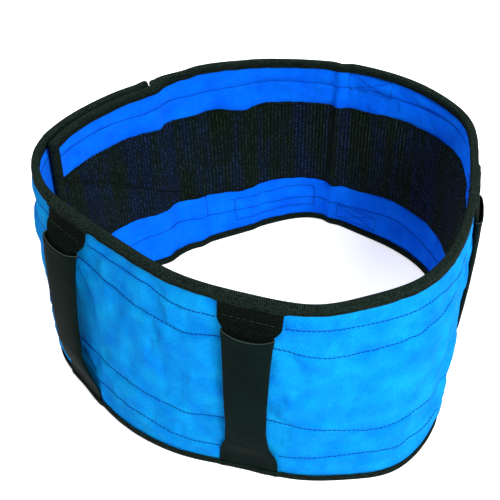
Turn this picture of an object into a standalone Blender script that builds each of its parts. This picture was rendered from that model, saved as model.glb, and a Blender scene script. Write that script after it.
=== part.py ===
"""Padded gait belt, closed into an upright loop with its ends overlapped.

Row frame: metres, +Z up, origin at the centre of the bounding box's base, front of the loop towards -Y.
The belt is a quilted strip about 1.2 m long and 188 mm high. Lengths below are in millimetres.

Three coordinates place every piece of the belt:
    s  distance along the strip from its inner end, clockwise round the back of the loop
    z  height above the lower edge
    d  distance out of the wall's outer face (negative is inside the padding)
"""
import math

import bmesh
import bpy
import numpy as np
from mathutils import Vector

MM = 0.001
GAP = 0.3

# Belt height, bound edges and rows
HEIGHT = 188.0
MESH_LOW = 54.0
MESH_HIGH = 144.0
TAPE = 7.5

# Plan of the loop's outer face, at the top edge and at the lower edge, generator by generator
TOP_PLAN = [
    (-180, 20), (-158, 70), (-125, 106), (-87, 135), (-46, 156), (-1, 165), (53, 163), (90, 155),
    (128, 135), (158, 104), (178, 63), (177, 11), (165, -54), (145, -111), (116, -151), (77, -172),
    (36, -181), (-11, -168), (-58, -147), (-100, -112), (-140, -73), (-170, -34),
]
LOW_PLAN = [
    (-168, 32), (-144, 71), (-114, 103), (-76, 124), (-38, 144), (2, 165), (53, 182), (91, 164),
    (127, 138), (157, 105), (171, 67), (170, 20), (156, -40), (147, -104), (114, -154), (75, -168),
    (29, -168), (-15, -156), (-63, -142), (-112, -108), (-147, -62), (-171, -21),
]
INNER_END_U = 0.12
BULGE_HEIGHTS = (0.0, 15.5, 54.0, 94.0, 144.0, 172.5, 188.0)
BULGE_DEPTHS = (0.0, 1.2, 3.0, 3.5, 2.8, 1.2, 0.0)

# Layers of the wall: outer and inner depth in the middle of the wall, then where it is pinched
SHELL = (0.0, -1.0, -0.9, -1.9)
FOAM = (-1.3, -4.8, -2.2, -3.6)
LINING = (-5.1, -6.1, -3.9, -4.9)
MESH = (-6.4, -7.6)
LOOP_PILE = (0.8, 1.7)
HOOK_PILE = (-6.8, -7.7)
WALL_ROWS = (1.5, 8.1, 15.5, 54.0, 94.0, 144.0, 172.5, 179.9, 186.5)
MAIN_STEPS = 54

# Overlap at the back left, under the flap that closes the belt
TUCK = -9.8
TUCK_UNTIL = 124.5
TUCK_FADE = 15.5
FLAP_BEFORE = 12.0
FLAP_AFTER = 122.0

# Handles: distance of each one's centre from the inner end at its top, middle and foot, and how far its
# middle stands off the wall
HANDLES = {
    "back_right": (337.8, 335.5, 333.3, 6.5),
    "right": (543.0, 547.0, 552.0, 7.0),
    "front": (812.8, 813.9, 809.0, 6.5),
    "front_left": (985.0, 983.0, 977.0, 10.0),
    "left": (1129.0, 1129.0, 1129.0, 6.5),
}
WEB_THICK = 1.4
WEB_REST = 1.2
STRAP_LOW = 36.0
STRAP_HIGH = 156.0
STAND_HEIGHTS = (0.0, 18.0, 36.0, 55.0, 95.0, 130.0, 152.0, 162.0, 188.0)
STAND_SHARES = (0.0, 0.0, 0.5, 0.92, 1.0, 0.96, 0.78, 0.0, 0.0)

BLUE = (0.01, 0.16, 0.78, 1.0)
BLACK = (0.012, 0.014, 0.012, 1.0)


# ---------------------------------------------------------------- belt surface
class Loop:
    """Smooth closed plan of the belt, measured along its length."""

    def __init__(self):
        self.top = self.spline(TOP_PLAN)
        self.low = self.spline(LOW_PLAN)
        along = [0.0]
        for i in range(1, len(self.top)):
            step = np.linalg.norm(self.top[i] - self.top[i - 1]) + np.linalg.norm(self.low[i] - self.low[i - 1])
            along.append(along[-1] + step / 2)
        self.along = np.array(along)
        self.length = along[-1]
        self.start = np.interp(INNER_END_U, np.linspace(0, len(TOP_PLAN), len(self.top)), self.along)
        mean = (self.top + self.low) / 2
        ahead = np.roll(mean[:-1], -1, axis=0) - np.roll(mean[:-1], 1, axis=0)
        out = np.stack([-ahead[:, 1], ahead[:, 0]], axis=1)
        out = out / np.linalg.norm(out, axis=1)[:, None]
        self.out = np.vstack([out, out[:1]])

    @staticmethod
    def spline(points, steps=100):
        """Periodic cubic through the plan points."""
        p = np.array(points, float)
        n = len(p)
        matrix = np.zeros((n, n))
        for i in range(n):
            matrix[i, i] = 4.0
            matrix[i, (i + 1) % n] += 1.0
            matrix[i, (i - 1) % n] += 1.0
        slope = np.linalg.solve(matrix, 3 * (np.roll(p, -1, axis=0) - np.roll(p, 1, axis=0)))
        t = (np.arange(steps) / steps)[:, None]
        pieces = []
        for i in range(n):
            j = (i + 1) % n
            pieces.append((2 * t**3 - 3 * t**2 + 1) * p[i] + (t**3 - 2 * t**2 + t) * slope[i]
                          + (3 * t**2 - 2 * t**3) * p[j] + (t**3 - t**2) * slope[j])
        return np.vstack(pieces + [p[:1]])

    def at(self, s, z, d):
        """Point of the belt in millimetres."""
        w = (s + self.start) % self.length
        low = np.array([np.interp(w, self.along, self.low[:, k]) for k in (0, 1)])
        top = np.array([np.interp(w, self.along, self.top[:, k]) for k in (0, 1)])
        out = np.array([np.interp(w, self.along, self.out[:, k]) for k in (0, 1)])
        out = out / np.linalg.norm(out)
        shift = d + np.interp(z, BULGE_HEIGHTS, BULGE_DEPTHS) + tuck(s)
        x, y = low + (top - low) * z / HEIGHT + out * shift
        return Vector((x, y, z)) * MM


def tuck(s):
    """Inward step of the inner end, which lies behind the flap."""
    t = min(1.0, max(0.0, (s - TUCK_UNTIL) / TUCK_FADE))
    if s < TUCK_UNTIL + TUCK_FADE:
        return TUCK * (1 - t * t * (3 - 2 * t))
    return 0.0


LOOP = Loop()
ROOT = LOOP.length - FLAP_BEFORE
TIP = LOOP.length + FLAP_AFTER


# ---------------------------------------------------------------- mesh helpers
def clear_scene():
    for obj in list(bpy.data.objects):
        bpy.data.objects.remove(obj, do_unlink=True)


def make_material(name, color, roughness):
    mat = bpy.data.materials.new(name)
    mat.use_nodes = True
    shader = mat.node_tree.nodes["Principled BSDF"]
    shader.inputs["Base Color"].default_value = color
    shader.inputs["Roughness"].default_value = roughness
    return mat


def split_quad(bm, a, b, c, d):
    """Two triangles, cut from the lower corner of a to the upper of b so that stacked layers match."""
    if b.co.z >= a.co.z:
        bm.faces.new((a, b, c))
        bm.faces.new((a, c, d))
    else:
        bm.faces.new((a, b, d))
        bm.faces.new((b, c, d))


def loft(name, rings, look, pivot=None, hollow=None):
    """Closed solid through a row of rings, or a tube wall between rings and hollow rings."""
    color, roughness = look
    pivot = pivot or Vector((0, 0, 0))
    mesh = bpy.data.meshes.new(name)
    bm = bmesh.new()
    rows = [[bm.verts.new(p - pivot) for p in ring] for ring in rings]
    inner = [[bm.verts.new(p - pivot) for p in ring] for ring in hollow or []]
    for group in (rows, inner):
        for a, b in zip(group, group[1:]):
            for i in range(len(a)):
                split_quad(bm, a[i], a[(i + 1) % len(a)], b[(i + 1) % len(a)], b[i])
    if inner:
        for a, b in ((rows[0], inner[0]), (rows[-1], inner[-1])):
            for i in range(len(a)):
                j = (i + 1) % len(a)
                bm.faces.new((a[i], a[j], b[j], b[i]))
    else:
        bm.faces.new(rows[0])
        bm.faces.new(rows[-1])
    bmesh.ops.recalc_face_normals(bm, faces=bm.faces)
    bm.to_mesh(mesh)
    bm.free()
    mesh.shade_smooth()
    obj = bpy.data.objects.new(name, mesh)
    obj.location = pivot
    mesh.materials.append(make_material(name, color, roughness))
    PARTS.objects.link(obj)
    return obj


# ---------------------------------------------------------------- wall pieces
def pinch(s, z):
    """1 where the layers are gripped by a bound edge, 0 in the open wall."""
    if z < 12.0 or z > HEIGHT - 12.0:
        return 1.0
    if s < 9.0 or s > TIP - 9.0:
        return 1.0
    return 0.0


def stations(first, last, steps):
    """Even stations, with more where a bound end grips the layers and where the tuck ends."""
    line = list(np.linspace(first, last, steps + 1))
    if first < 10.0:
        step_out = list(np.linspace(TUCK_UNTIL, TUCK_UNTIL + TUCK_FADE, 5))
        line = [v for v in line if v < TUCK_UNTIL - 5.0 or v > TUCK_UNTIL + TUCK_FADE + 5.0]
        line = sorted([first, 8.6] + [v for v in line if v > 15.0] + step_out)
    if last > TIP - 10.0:
        line = [v for v in line if v < TIP - 15.0] + [TIP - 8.7, last]
    return line


def layer_ring(s, rows, depths):
    outer, inner, outer_pinched, inner_pinched = depths
    ring = []
    for z in rows:
        ring.append(LOOP.at(s, z, outer_pinched if pinch(s, z) else outer))
    for z in reversed(rows):
        ring.append(LOOP.at(s, z, inner_pinched if pinch(s, z) else inner))
    return ring


def wall_layer(name, line, depths, look, pivot=None):
    rings = [layer_ring(s, WALL_ROWS, depths) for s in line]
    return loft(name, rings, look, pivot)


def panel(name, line, low, high, depths, look, pivot=None):
    """Thin panel on a face of the wall; low and high give its edges at each station."""
    rings = []
    for s in line:
        rows = (low(s), (low(s) + high(s)) / 2, high(s))
        ring = [LOOP.at(s, z, depths[0]) for z in rows]
        ring += [LOOP.at(s, z, depths[1]) for z in reversed(rows)]
        rings.append(ring)
    return loft(name, rings, look, pivot)


def edge_binding(name, line, upper, look, pivot=None):
    """Tape folded over the top or the lower edge."""
    profile = [
        (-0.6, TAPE), (-0.6, 1.2), (-5.2, 1.2), (-5.2, TAPE), (-6.3, TAPE), (-6.3, 2.0),
        (-5.4, 0.5), (-4.4, 0.0), (-1.4, 0.0), (-0.4, 0.5), (0.5, 2.0), (0.5, TAPE),
    ]
    rings = []
    for s in line:
        rings.append([LOOP.at(s, HEIGHT - z if upper else z, d) for d, z in profile])
    return loft(name, rings, look, pivot)


def end_binding(name, edge, inward, look, pivot=None):
    """Tape folded over an end of the strip; inward is the direction of the strip from it."""
    profile = [
        (-0.6, TAPE), (-0.6, -0.3), (-5.2, -0.3), (-5.2, TAPE), (-6.3, TAPE), (-6.3, -0.2),
        (-5.0, -1.2), (-2.9, -1.5), (-0.8, -1.2), (0.5, -0.2), (0.5, TAPE),
    ]
    rings = []
    for z in (8.0, 15.5, MESH_LOW, 94.0, MESH_HIGH, 172.5, 180.0):
        rings.append([LOOP.at(edge + inward * s, z, d) for d, s in profile])
    return loft(name, rings, look, pivot)


# ---------------------------------------------------------------- handle pieces
def middle(place, z):
    """Distance along the strip of a handle's centre line at one height."""
    return float(np.interp(z, (18.0, 95.0, 168.0), (place[2], place[1], place[0])))


def stand(place, z):
    """How far a handle's webbing stands off the wall at one height."""
    return WEB_REST + (place[3] - WEB_REST) * float(np.interp(z, STAND_HEIGHTS, STAND_SHARES))


def web_piece(name, place, rows, widths, look, pivot=None):
    """Flat length of webbing; rows are heights and widths go with them."""
    rings = []
    for z, width in zip(rows, widths):
        across = [middle(place, z) + width * k for k in (-0.5, -0.17, 0.17, 0.5)]
        depth = stand(place, z)
        ring = [LOOP.at(s, z, depth + WEB_THICK / 2) for s in across]
        ring += [LOOP.at(s, z, depth - WEB_THICK / 2) for s in reversed(across)]
        rings.append(ring)
    return loft(name, rings, look, pivot)


def oval(place, z, half_width, half_depth, count=14):
    ring = []
    for i in range(count):
        a = 2 * math.pi * (i + 0.5) / count
        s = middle(place, z) + half_width * math.cos(a)
        ring.append(LOOP.at(s, z, stand(place, z) + half_depth * math.sin(a)))
    return ring


def grip_sleeve(name, place, look, pivot):
    """Tube round the webbing, wide at its open upper mouth."""
    rows = (40.0, 60.0, 95.0, 125.0, 143.0, 152.0)
    half_widths = (17.6, 16.6, 16.6, 17.0, 17.6, 18.0)
    half_depths = (3.1, 3.1, 3.1, 3.3, 3.9, 4.4)
    outer = [oval(place, z, w, d) for z, w, d in zip(rows, half_widths, half_depths)]
    inner = [oval(place, z, w - 1.2, d - 1.2) for z, w, d in zip(rows, half_widths, half_depths)]
    return loft(name, outer, look, pivot, hollow=inner)


def handle(side, place, anchor_pivot):
    """One vertical handle: two sewn ends, the free webbing and its grip sleeve."""
    web = (BLACK, 0.85)
    rubber = (BLACK, 0.6)
    axis_point = LOOP.at(place[1], 95.0, WEB_REST)
    web_piece("handle_%s_top_anchor" % side, place, (156.4, 159.5, 168.0, 179.6),
              (40.0, 46.5, 46.5, 46.5), web, anchor_pivot)
    web_piece("handle_%s_bottom_anchor" % side, place, (8.4, 18.0, 27.0, 35.6),
              (49.0, 48.0, 43.0, 37.0), web, anchor_pivot)
    web_piece("handle_%s_strap" % side, place, (STRAP_LOW, 40.0, 60.0, 95.0, 125.0, 143.0, 152.0, STRAP_HIGH),
              (26.0, 26.0, 25.0, 25.0, 25.0, 26.0, 27.0, 28.0), web, axis_point)
    grip_sleeve("handle_%s_grip_sleeve" % side, place, rubber, axis_point)


# ---------------------------------------------------------------- assembly
def pile_top(s):
    """Height of the slanting upper edge of the loop and hook panels."""
    return 149.0 - 0.567 * s


def build_main():
    blue = (BLUE, 0.75)
    black = (BLACK, 0.8)
    line = stations(0.6, ROOT - GAP, MAIN_STEPS)
    wall_layer("outer_shell_fabric", line, SHELL, blue)
    wall_layer("foam_core", line, FOAM, ((0.55, 0.55, 0.5, 1.0), 0.9))
    wall_layer("inner_lining_fabric", line, LINING, blue)
    panel("anti_slip_mesh_band", line[1:], lambda s: MESH_LOW, lambda s: MESH_HIGH, MESH, black)
    bound = [-0.9] + line[1:]
    edge_binding("top_edge_binding", bound, True, black)
    edge_binding("bottom_edge_binding", bound, False, black)
    end_binding("inner_end_binding", 0.6, 1, black)
    pile = [v for v in line if 12.0 < v < 172.0]
    panel("loop_pile_panel", pile, lambda s: 26.0, pile_top, LOOP_PILE, black)
    label = np.linspace(203.0, 284.0, 5)
    panel("blank_label", label, lambda s: 19.0, lambda s: 40.0, (1.6, 0.9), ((0.7, 0.7, 0.7, 1.0), 0.6))


def build_flap(pivot):
    blue = (BLUE, 0.75)
    black = (BLACK, 0.8)
    line = stations(ROOT + GAP, TIP - 0.6, 8)
    wall_layer("flap_outer_fabric", line, SHELL, blue, pivot)
    wall_layer("flap_foam_core", line, FOAM, ((0.55, 0.55, 0.5, 1.0), 0.9), pivot)
    wall_layer("flap_inner_lining", line, LINING, blue, pivot)
    bound = line[:-1] + [TIP + 0.9]
    edge_binding("flap_top_binding", bound, True, black, pivot)
    edge_binding("flap_bottom_binding", bound, False, black, pivot)
    end_binding("flap_end_binding", TIP - 0.6, -1, black, pivot)
    pile = [v for v in line if LOOP.length + 12.0 < v < TIP - 12.0]
    panel("flap_hook_panel", pile, lambda s: 26.0, lambda s: pile_top(s - LOOP.length), HOOK_PILE, black, pivot)


clear_scene()
PARTS = bpy.data.collections.new("gait_belt")
bpy.context.scene.collection.children.link(PARTS)
FLAP_PIVOT = LOOP.at(ROOT, 95.0, 0.6)
build_main()
build_flap(FLAP_PIVOT)
for side_name, side_place in HANDLES.items():
    handle(side_name, side_place, FLAP_PIVOT if side_name == "left" else None)
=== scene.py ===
"""Looks of the padded gait belt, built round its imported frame.

Lengths are in millimetres until LOOP.place() turns them into the row frame's metres. Three coordinates place
everything: s along the strip from its inner end, z above the lower edge, d out of the wall's outer face.
"""

import math
from collections import namedtuple

import bmesh
import bpy
import numpy as np
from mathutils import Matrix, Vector


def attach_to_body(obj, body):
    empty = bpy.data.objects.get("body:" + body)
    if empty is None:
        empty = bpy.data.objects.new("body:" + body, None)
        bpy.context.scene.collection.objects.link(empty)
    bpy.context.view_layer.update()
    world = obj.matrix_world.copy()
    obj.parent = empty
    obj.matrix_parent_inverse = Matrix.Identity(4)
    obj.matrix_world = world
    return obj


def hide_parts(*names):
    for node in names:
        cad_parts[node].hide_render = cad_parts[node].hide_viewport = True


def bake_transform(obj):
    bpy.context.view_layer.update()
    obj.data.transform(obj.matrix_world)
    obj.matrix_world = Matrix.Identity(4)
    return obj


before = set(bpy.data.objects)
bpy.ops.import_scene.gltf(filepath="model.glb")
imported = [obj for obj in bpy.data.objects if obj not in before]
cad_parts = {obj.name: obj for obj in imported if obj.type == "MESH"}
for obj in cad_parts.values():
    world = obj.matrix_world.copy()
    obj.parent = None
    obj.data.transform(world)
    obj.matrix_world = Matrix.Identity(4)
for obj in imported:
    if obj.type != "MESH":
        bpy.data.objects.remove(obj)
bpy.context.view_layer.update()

# ---- measures of the belt
HEIGHT = 188.0
MID = HEIGHT / 2
TOP_PLAN = [
    (-180, 20), (-158, 70), (-125, 106), (-87, 135), (-46, 156), (-1, 165), (53, 163), (90, 155),
    (128, 135), (158, 104), (178, 63), (177, 11), (165, -54), (145, -111), (116, -151), (77, -172),
    (36, -181), (-11, -168), (-58, -147), (-100, -112), (-140, -73), (-170, -34),
]
LOW_PLAN = [
    (-168, 32), (-144, 71), (-114, 103), (-76, 124), (-38, 144), (2, 165), (53, 182), (91, 164),
    (127, 138), (157, 105), (171, 67), (170, 20), (156, -40), (147, -104), (114, -154), (75, -168),
    (29, -168), (-15, -156), (-63, -142), (-112, -108), (-147, -62), (-171, -21),
]
INNER_END_U = 0.12
BULGE = 3.6
WALL = 5.8
CORE = -WALL / 2
TUCK = -9.8
# Where the tucked inner end comes out from under the flap: outer face, then inner face
TUCK_ENDS = ((121.9, 126.8), (116.0, 154.0))
MESH_LOW, MESH_HIGH = 54.0, 144.0
TAPE = 7.5
ROWS = (29.5, 54.0, 144.0, 165.0)
# How far each sewn row wanders off its height: distance along the strip, millimetres up
ROW_WANDER = (
    [(0, 3), (80, 5), (128, 6), (192, -1), (248, -3), (312, -2), (374, 5), (424, -1), (550, 0), (690, 2),
     (727, 4), (785, -1), (861, -4), (908, 2), (962, 4)],
    [(0, 5), (57, 6), (131, 3), (190, -3), (207, -5), (241, -2), (313, -5), (372, 0), (458, -4), (560, 2),
     (668, 9), (717, 5), (750, 10), (793, 16), (830, 8), (861, 2), (913, 6), (962, 9)],
    [(0, 5), (90, 3), (136, -1), (187, -3), (210, -7), (240, -2), (319, -3), (390, 1), (455, 4), (629, 4),
     (674, -2), (701, -2), (747, -4), (795, 2), (834, 2), (864, -4), (889, -1), (936, 3), (971, 7)],
    [(0, 6), (53, 4), (117, 0), (186, -3), (243, 1), (305, -1), (358, 0), (450, 6), (620, -4), (683, 0),
     (786, 2), (864, -2), (905, 5), (968, 4)],
)
# Handles: centre at the top, middle and foot, how far the middle stands off the wall, rise of the mouth,
# and extra half width of the sleeve
Handle = namedtuple("Handle", "top middle foot slack rise wider")
HANDLES = {
    "back_right": Handle(337.8, 335.5, 333.3, 6.5, 6.5, 0.0),
    "right": Handle(541.0, 556.0, 564.0, 4.3, 9.0, 0.0),
    "front": Handle(813.0, 811.9, 809.8, 6.5, 6.5, 0.0),
    "front_left": Handle(988.8, 982.0, 976.5, 10.5, 8.0, 1.8),
    "left": Handle(1129.0, 1129.0, 1129.0, 6.5, 6.5, 0.0),
}


def fade(a, b, x):
    """Smooth step from 0 at a to 1 at b."""
    t = np.clip((np.asarray(x, float) - a) / (b - a), 0.0, 1.0)
    return t * t * (3 - 2 * t)


def arrays(*values):
    """The values as arrays of one shape."""
    return np.broadcast_arrays(*[np.asarray(v, float) for v in values])


def new_object(name, data):
    obj = bpy.data.objects.new(name, data)
    bpy.context.scene.collection.objects.link(obj)
    return obj


class Loop:
    """Smooth closed plan of the belt, measured along its length."""

    def __init__(self):
        self.top = self.spline(TOP_PLAN)
        self.low = self.spline(LOW_PLAN)
        step = (np.linalg.norm(np.diff(self.top, axis=0), axis=1)
                + np.linalg.norm(np.diff(self.low, axis=0), axis=1)) / 2
        self.along = np.concatenate([[0.0], np.cumsum(step)])
        self.length = self.along[-1]
        self.start = np.interp(INNER_END_U, np.linspace(0, len(TOP_PLAN), len(self.top)), self.along)
        mean = (self.top + self.low) / 2
        ahead = np.roll(mean[:-1], -1, axis=0) - np.roll(mean[:-1], 1, axis=0)
        out = np.stack([-ahead[:, 1], ahead[:, 0]], axis=1)
        out = out / np.linalg.norm(out, axis=1)[:, None]
        self.out = np.vstack([out, out[:1]])

    @staticmethod
    def spline(points, steps=100):
        """Periodic cubic through the plan points."""
        p = np.array(points, float)
        n = len(p)
        matrix = 4 * np.eye(n) + np.roll(np.eye(n), 1, axis=1) + np.roll(np.eye(n), -1, axis=1)
        slope = np.linalg.solve(matrix, 3 * (np.roll(p, -1, axis=0) - np.roll(p, 1, axis=0)))
        t = (np.arange(steps) / steps)[:, None]
        a, b, u, v = (k[:, None] for k in (p, np.roll(p, -1, axis=0), slope, np.roll(slope, -1, axis=0)))
        curve = ((2 * t**3 - 3 * t**2 + 1) * a + (t**3 - 2 * t**2 + t) * u
                 + (3 * t**2 - 2 * t**3) * b + (t**3 - t**2) * v)
        return np.vstack([curve.reshape(-1, 2), p[:1]])

    def place(self, s, z, d):
        """Points in metres for arrays of strip coordinates."""
        s, z, d = arrays(s, z, d)
        w = (s + self.start) % self.length
        low, top, out = (np.stack([np.interp(w, self.along, line[:, k]) for k in (0, 1)], -1)
                         for line in (self.low, self.top, self.out))
        out /= np.linalg.norm(out, axis=-1)[..., None]
        outer, inner = (TUCK * (1 - fade(*ends, s)) for ends in TUCK_ENDS)
        tucked = inner + (outer - inner) * np.clip(1 + d / WALL, 0, 1)
        shift = d + BULGE * (1 - ((z - MID) / MID) ** 2) + tucked
        xy = low + (top - low) * (z / HEIGHT)[..., None] + out * shift[..., None]
        return np.concatenate([xy, z[..., None]], -1) * 0.001


def eased(points, p):
    """Value at p between given points (place, value), easing from each to the next."""
    at, value = np.array(points, float).T
    i = np.clip(np.searchsorted(at, p, side="right") - 1, 0, len(at) - 2)
    return value[i] + (value[i + 1] - value[i]) * fade(0, 1, (p - at[i]) / (at[i + 1] - at[i]))


def cut(first, last, step):
    """Evenly spaced places from first to last, about a step apart."""
    return np.linspace(first, last, max(2, int(round((last - first) / step)) + 1))


def grid_faces(columns, rows, first=0, flip=False):
    """Quads of a grid of points numbered column by column."""
    index = first + np.arange(columns * rows).reshape(columns, rows)
    a, b, c, d = index[:-1, :-1], index[:-1, 1:], index[1:, 1:], index[1:, :-1]
    quads = np.stack([a, b, c, d] if not flip else [d, c, b, a], -1)
    return quads.reshape(-1, 4).tolist()


LOOP = Loop()
ROOT = LOOP.length - 12.0
TIP = LOOP.length + 122.0
BEND = (ROOT - 14.0, ROOT + 14.0)
HINGE = (ROOT - 20.0, ROOT + 20.0)
END_GAP = 0.6
ZONES = {"belt": (END_GAP, HINGE[0]), "hinge": HINGE, "flap": (HINGE[1], TIP - END_GAP)}


# ---- relief of the cloth
def between(grid, i, after, j, a, b):
    """Values of a grid between columns i and after and rows j and j + 1."""
    low = grid[i, j] * (1 - a) + grid[after, j] * a
    high = grid[i, j + 1] * (1 - a) + grid[after, j + 1] * a
    return low * (1 - b) + high * b


class Noise:
    """Smooth seeded noise over the strip that closes round the loop."""

    def __init__(self, seed, cell_s, cell_z):
        self.count = max(3, round(LOOP.length / cell_s))
        self.cell_s, self.cell_z = LOOP.length / self.count, cell_z
        self.grid = np.random.default_rng(seed).uniform(-1, 1, (self.count, int(HEIGHT / cell_z) + 6))

    def __call__(self, s, z):
        s, z = arrays(s, z)
        u, v = (s % LOOP.length) / self.cell_s, np.clip(z, -5, HEIGHT + 5) / self.cell_z + 2
        i, j = np.floor(u).astype(int), np.floor(v).astype(int)
        a, b = fade(0, 1, u - i), fade(0, 1, v - j)
        return between(self.grid, i % self.count, (i + 1) % self.count, j, a, b)


# Length of one stitch with its gap, and of one rib of the knitted band
PITCH = 3.6
RIB = 3.4
WAVES = [Noise(3, 120, 190), Noise(5, 46, 70)]
CRUMPLE = [Noise(13, 9, 11), Noise(17, 5.5, 6), Noise(23, 33, 45)]
# Soft bends of the whole wall: distance along the strip and how far out
SWAY = [(60, 0.0), (92, 0.6), (113, -1.0), (137, 0.9), (158, -1.4), (173, 2.2), (214, -0.8), (230, 2.0),
        (262, 1.4), (296, 0.2), (306, -2.4), (318, 0.9), (352, 0.0)]
# Creases: distance along, lean per mm of height, half width, depth, lowest and highest point
CREASES = [
    (306, 0.03, 5.5, -1.7, 0, 188), (124, 0.06, 5, -1.1, 90, 188), (166, 0.04, 6, -1.4, 0, 170),
    (225, 0.05, 5, -1.0, 0, 188), (643.5, -0.08, 6.0, -1.9, 62, 138), (607, -1.18, 8.0, -2.1, 32, 64),
    (699, -0.52, 5.0, -1.4, 139, 163), (616, -0.12, 5.5, -1.4, 76, 160), (590, -0.08, 5.5, -1.4, 60, 170),
    (752, -0.25, 9.0, -1.1, 66, 138), (880, 0.15, 5.0, -0.9, 40, 130), (912, -0.2, 5.0, -0.8, 60, 150),
]


def sway(s, z):
    """Displacement that every layer of the wall shares, out of the wall."""
    p = np.asarray(s, float) % LOOP.length
    total = eased(SWAY, p) * (0.55 + 0.45 * fade(10, 60, z) * fade(180, 130, z))
    for start, lean, half, depth, low, high in CREASES:
        total = total + depth * np.exp(-((p - start - lean * (z - MID)) / half) ** 2) * fade(
            low - 12, low + 12, z) * fade(high + 12, high - 12, z)
    still = 1 - 0.8 * fade(TIP - LOOP.length + 20, TIP - LOOP.length - 10, p)
    return total + (0.9 * WAVES[0](s, z) + 0.55 * WAVES[1](s, z)) * still


def gripped(s, z):
    """1 within reach of a bound edge, 0 in the open wall."""
    edge = np.minimum(np.minimum(z, HEIGHT - z), np.minimum(s, TIP - s))
    return fade(15.5, 8.5, edge)


def middle(place, z):
    """Distance along the strip of a handle's centre line."""
    return np.interp(z, (18.0, 95.0, 168.0), (place.foot, place.middle, place.top))


def near_handles(s, z, far, close):
    """1 within close of a handle's centre line, 0 beyond far."""
    return np.max([fade(far, close, np.abs(s - middle(place, z))) for place in HANDLES.values()], 0)


def covered(s, z):
    """1 under the sewn ends of the handles, where the cloth is held flat."""
    return near_handles(s, z, 28, 23.5) * np.maximum(fade(40, 34, z), fade(151, 157, z))


PANELS = np.array([TAPE, *ROWS, HEIGHT - TAPE])


def wander(row, s):
    """Height of a sewn row above its mean at one place along the strip."""
    points = ROW_WANDER[row]
    return eased(points + [(LOOP.length, points[0][1])], np.asarray(s, float) % LOOP.length)


def sewn_levels(s):
    """Heights of the two edges and the sewn rows: their means, and where they really run at s."""
    means = [0.0, *ROWS, HEIGHT]
    rises = [0.0 * s] + [wander(k, s) for k in range(len(ROWS))] + [0.0 * s]
    return means, [mean + rise for mean, rise in zip(means, rises)]


def carried(z, source, target, total):
    """Heights z given against one set of levels, carried over to another."""
    for k in range(len(source) - 1):
        share = (z - source[k]) / (source[k + 1] - source[k])
        inside = (share >= 0) & (share < 1)
        total = np.where(inside, target[k] + share * (target[k + 1] - target[k]), total)
    return total


def level(s, z):
    """Height measured against the sewn rows, so that the relief follows them as they wander."""
    means, real = sewn_levels(s)
    return np.where((z <= 0) | (z >= HEIGHT), z, carried(z, real, means, 0.0 * s))


def unlevel(s, z):
    """The other way round: height of a point that is given against the sewn rows."""
    return carried(z, *sewn_levels(s), z + 0.0 * s)


class Quilt:
    """Relief of the padded cloth between its sewn rows, from a cloth simulation on the unrolled strip."""

    STEP = 5.0
    FRAMES = 20
    SETTINGS = {
        "quality": 4, "mass": 0.2, "tension_stiffness": 12.0, "compression_stiffness": 12.0,
        "bending_stiffness": 0.4, "vertex_group_mass": "sewn", "shrink_min": -0.05, "use_pressure": True,
        "uniform_pressure_force": 4.0,
    }

    def __init__(self, seed):
        rows = [cut(a, b, self.STEP)[:-1] for a, b in zip(PANELS[:-1], PANELS[1:])]
        self.z = np.concatenate(rows + [PANELS[-1:]])
        self.s = cut(0.0, TIP, self.STEP)
        s, z = np.meshgrid(self.s, self.z, indexing="ij")
        rise = 0.5 * Noise(seed, 17, 14)(s, z) + 0.3
        points = np.stack([s, z, rise], -1) * 0.001
        self.relief = self.settle(self.swell(points, grid_faces(len(self.s), len(self.z), flip=True)))

    def swell(self, points, faces):
        """Heights in millimetres after the cloth, a little longer than its backing, is blown up."""
        mesh = bpy.data.meshes.new("quilt")
        mesh.from_pydata(points.reshape(-1, 3).tolist(), [], faces)
        obj = new_object("quilt", mesh)
        sewn = obj.vertex_groups.new(name="sewn")
        held = np.tile(np.isclose(self.z[None, :], PANELS[:, None]).any(0), (len(self.s), 1))
        held[[0, -1]] = True
        sewn.add(np.flatnonzero(held).tolist(), 1.0, "REPLACE")
        cloth = obj.modifiers.new("cloth", "CLOTH")
        for key, value in self.SETTINGS.items():
            setattr(cloth.settings, key, value)
        cloth.settings.effector_weights.gravity = 0.0
        cloth.point_cache.frame_end = self.FRAMES
        for frame_number in range(1, self.FRAMES + 1):
            bpy.context.scene.frame_set(frame_number)
        blown = obj.evaluated_get(bpy.context.evaluated_depsgraph_get())
        flat = np.empty(points.size)
        blown.to_mesh().vertices.foreach_get("co", flat)
        blown.to_mesh_clear()
        bpy.context.scene.frame_set(1)
        bpy.data.objects.remove(obj, do_unlink=True)
        bpy.data.meshes.remove(mesh)
        return flat.reshape(len(self.s), len(self.z), 3)[..., 2] * 1000

    @staticmethod
    def settle(height):
        """Cap the swell: its even part to a low dome, its wrinkles to a millimetre and a half."""
        dome = height.mean(0)[None, :]
        wrinkle = height - dome
        return 1.5 * np.tanh(dome / 2.5) + 1.5 * np.tanh(wrinkle / 1.8)

    def __call__(self, s, z):
        s, z = np.broadcast_arrays(np.clip(s, 0, TIP), np.clip(z, TAPE, HEIGHT - TAPE))
        u = s / (self.s[1] - self.s[0])
        i = np.clip(u.astype(int), 0, len(self.s) - 2)
        j = np.clip(np.searchsorted(self.z, z, side="right") - 1, 0, len(self.z) - 2)
        a, b = fade(0, 1, u - i), fade(0, 1, (z - self.z[j]) / (self.z[j + 1] - self.z[j]))
        return between(self.relief, i, i + 1, j, a, b)


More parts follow.
